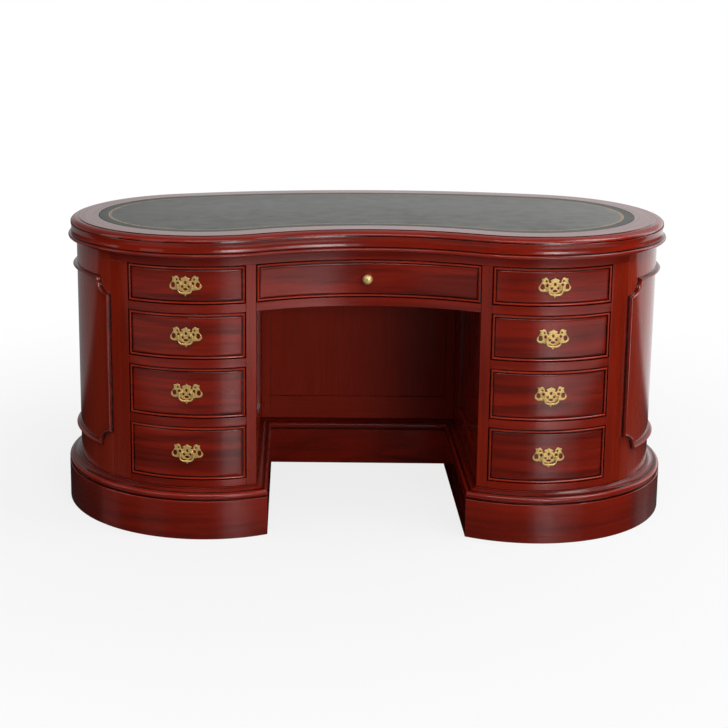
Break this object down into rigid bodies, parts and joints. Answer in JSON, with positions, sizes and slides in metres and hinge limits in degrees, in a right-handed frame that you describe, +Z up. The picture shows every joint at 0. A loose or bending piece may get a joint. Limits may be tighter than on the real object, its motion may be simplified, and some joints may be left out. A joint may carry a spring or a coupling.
{
  "type": "kidney shaped desk",
  "caption": "Kidney shaped pedestal desk with a moulded top and leather inlay, bowed drawers with swinging bail handles, a drawer over the kneehole and a moulded plinth.",
  "frame": {"origin": "on the floor, under the middle of the desk's bounding box", "axes": "+X to the right of the person who sits at the desk, +Y from the hollow front to the bowed back, +Z up"},
  "size_m": [1.6132, 0.8289, 0.78],
  "materials": {
    "mahogany": "polished",
    "drawer_lining": "satin",
    "leather": "satin",
    "brass": "polished"
  },
  "bodies": {
    "carcass": {"top_board": "mahogany", "leather_inlay": "leather", "frieze_rail": "mahogany", "centre_runner_frame": "mahogany", "back_wall": "mahogany", "kneehole_back": "mahogany", "kneehole_plinth": "mahogany", "left_kneehole_side": "mahogany", "left_outer_side": "mahogany", "left_end_wall": "mahogany", "left_end_moulding": "mahogany", "left_plinth": "mahogany", "left_runner_frame_1": "mahogany", "left_runner_frame_2": "mahogany", "left_runner_frame_3": "mahogany", "left_bottom_board": "mahogany", "right_kneehole_side": "mahogany", "right_outer_side": "mahogany", "right_end_wall": "mahogany", "right_end_moulding": "mahogany", "right_plinth": "mahogany", "right_runner_frame_1": "mahogany", "right_runner_frame_2": "mahogany", "right_runner_frame_3": "mahogany", "right_bottom_board": "mahogany"},
    "left_drawer_1": {"left_drawer_1_front": "mahogany", "left_drawer_1_box": "drawer_lining", "left_drawer_1_plate": "brass"},
    "left_drawer_1_handle": {"left_drawer_1_bail": "brass"},
    "left_drawer_2": {"left_drawer_2_front": "mahogany", "left_drawer_2_box": "drawer_lining", "left_drawer_2_plate": "brass"},
    "left_drawer_2_handle": {"left_drawer_2_bail": "brass"},
    "left_drawer_3": {"left_drawer_3_front": "mahogany", "left_drawer_3_box": "drawer_lining", "left_drawer_3_plate": "brass"},
    "left_drawer_3_handle": {"left_drawer_3_bail": "brass"},
    "left_drawer_4": {"left_drawer_4_front": "mahogany", "left_drawer_4_box": "drawer_lining", "left_drawer_4_plate": "brass"},
    "left_drawer_4_handle": {"left_drawer_4_bail": "brass"},
    "right_drawer_1": {"right_drawer_1_front": "mahogany", "right_drawer_1_box": "drawer_lining", "right_drawer_1_plate": "brass"},
    "right_drawer_1_handle": {"right_drawer_1_bail": "brass"},
    "right_drawer_2": {"right_drawer_2_front": "mahogany", "right_drawer_2_box": "drawer_lining", "right_drawer_2_plate": "brass"},
    "right_drawer_2_handle": {"right_drawer_2_bail": "brass"},
    "right_drawer_3": {"right_drawer_3_front": "mahogany", "right_drawer_3_box": "drawer_lining", "right_drawer_3_plate": "brass"},
    "right_drawer_3_handle": {"right_drawer_3_bail": "brass"},
    "right_drawer_4": {"right_drawer_4_front": "mahogany", "right_drawer_4_box": "drawer_lining", "right_drawer_4_plate": "brass"},
    "right_drawer_4_handle": {"right_drawer_4_bail": "brass"},
    "centre_drawer": {"centre_drawer_front": "mahogany", "centre_drawer_box": "drawer_lining", "centre_knob": "brass"}
  },
  "joints": [
    {"name": "left_drawer_1_slide", "type": "slide", "parent": "carcass", "child": "left_drawer_1", "axis": [0, -1, 0], "range_m": [0, 0.4]},
    {"name": "left_drawer_1_bail_hinge", "type": "hinge", "parent": "left_drawer_1", "child": "left_drawer_1_handle", "pos_m": [-0.45647, -0.38938, 0.6584], "axis": [-0.9959, 0.0904, 0], "range_deg": [0, 85]},
    {"name": "left_drawer_2_slide", "type": "slide", "parent": "carcass", "child": "left_drawer_2", "axis": [0, -1, 0], "range_m": [0, 0.4]},
    {"name": "left_drawer_2_bail_hinge", "type": "hinge", "parent": "left_drawer_2", "child": "left_drawer_2_handle", "pos_m": [-0.45647, -0.38938, 0.52764], "axis": [-0.9959, 0.0904, 0], "range_deg": [0, 85]},
    {"name": "left_drawer_3_slide", "type": "slide", "parent": "carcass", "child": "left_drawer_3", "axis": [0, -1, 0], "range_m": [0, 0.4]},
    {"name": "left_drawer_3_bail_hinge", "type": "hinge", "parent": "left_drawer_3", "child": "left_drawer_3_handle", "pos_m": [-0.45647, -0.38938, 0.38019], "axis": [-0.9959, 0.0904, 0], "range_deg": [0, 85]},
    {"name": "left_drawer_4_slide", "type": "slide", "parent": "carcass", "child": "left_drawer_4", "axis": [0, -1, 0], "range_m": [0, 0.4]},
    {"name": "left_drawer_4_bail_hinge", "type": "hinge", "parent": "left_drawer_4", "child": "left_drawer_4_handle", "pos_m": [-0.45647, -0.38938, 0.22145], "axis": [-0.9959, 0.0904, 0], "range_deg": [0, 85]},
    {"name": "right_drawer_1_slide", "type": "slide", "parent": "carcass", "child": "right_drawer_1", "axis": [0, -1, 0], "range_m": [0, 0.4]},
    {"name": "right_drawer_1_bail_hinge", "type": "hinge", "parent": "right_drawer_1", "child": "right_drawer_1_handle", "pos_m": [0.45647, -0.38938, 0.6584], "axis": [-0.9959, -0.0904, 0], "range_deg": [0, 85]},
    {"name": "right_drawer_2_slide", "type": "slide", "parent": "carcass", "child": "right_drawer_2", "axis": [0, -1, 0], "range_m": [0, 0.4]},
    {"name": "right_drawer_2_bail_hinge", "type": "hinge", "parent": "right_drawer_2", "child": "right_drawer_2_handle", "pos_m": [0.45647, -0.38938, 0.52764], "axis": [-0.9959, -0.0904, 0], "range_deg": [0, 85]},
    {"name": "right_drawer_3_slide", "type": "slide", "parent": "carcass", "child": "right_drawer_3", "axis": [0, -1, 0], "range_m": [0, 0.4]},
    {"name": "right_drawer_3_bail_hinge", "type": "hinge", "parent": "right_drawer_3", "child": "right_drawer_3_handle", "pos_m": [0.45647, -0.38938, 0.38019], "axis": [-0.9959, -0.0904, 0], "range_deg": [0, 85]},
    {"name": "right_drawer_4_slide", "type": "slide", "parent": "carcass", "child": "right_drawer_4", "axis": [0, -1, 0], "range_m": [0, 0.4]},
    {"name": "right_drawer_4_bail_hinge", "type": "hinge", "parent": "right_drawer_4", "child": "right_drawer_4_handle", "pos_m": [0.45647, -0.38938, 0.22145], "axis": [-0.9959, -0.0904, 0], "range_deg": [0, 85]},
    {"name": "centre_drawer_slide", "type": "slide", "parent": "carcass", "child": "centre_drawer", "axis": [0, -1, 0], "range_m": [0, 0.28]}
  ]
}
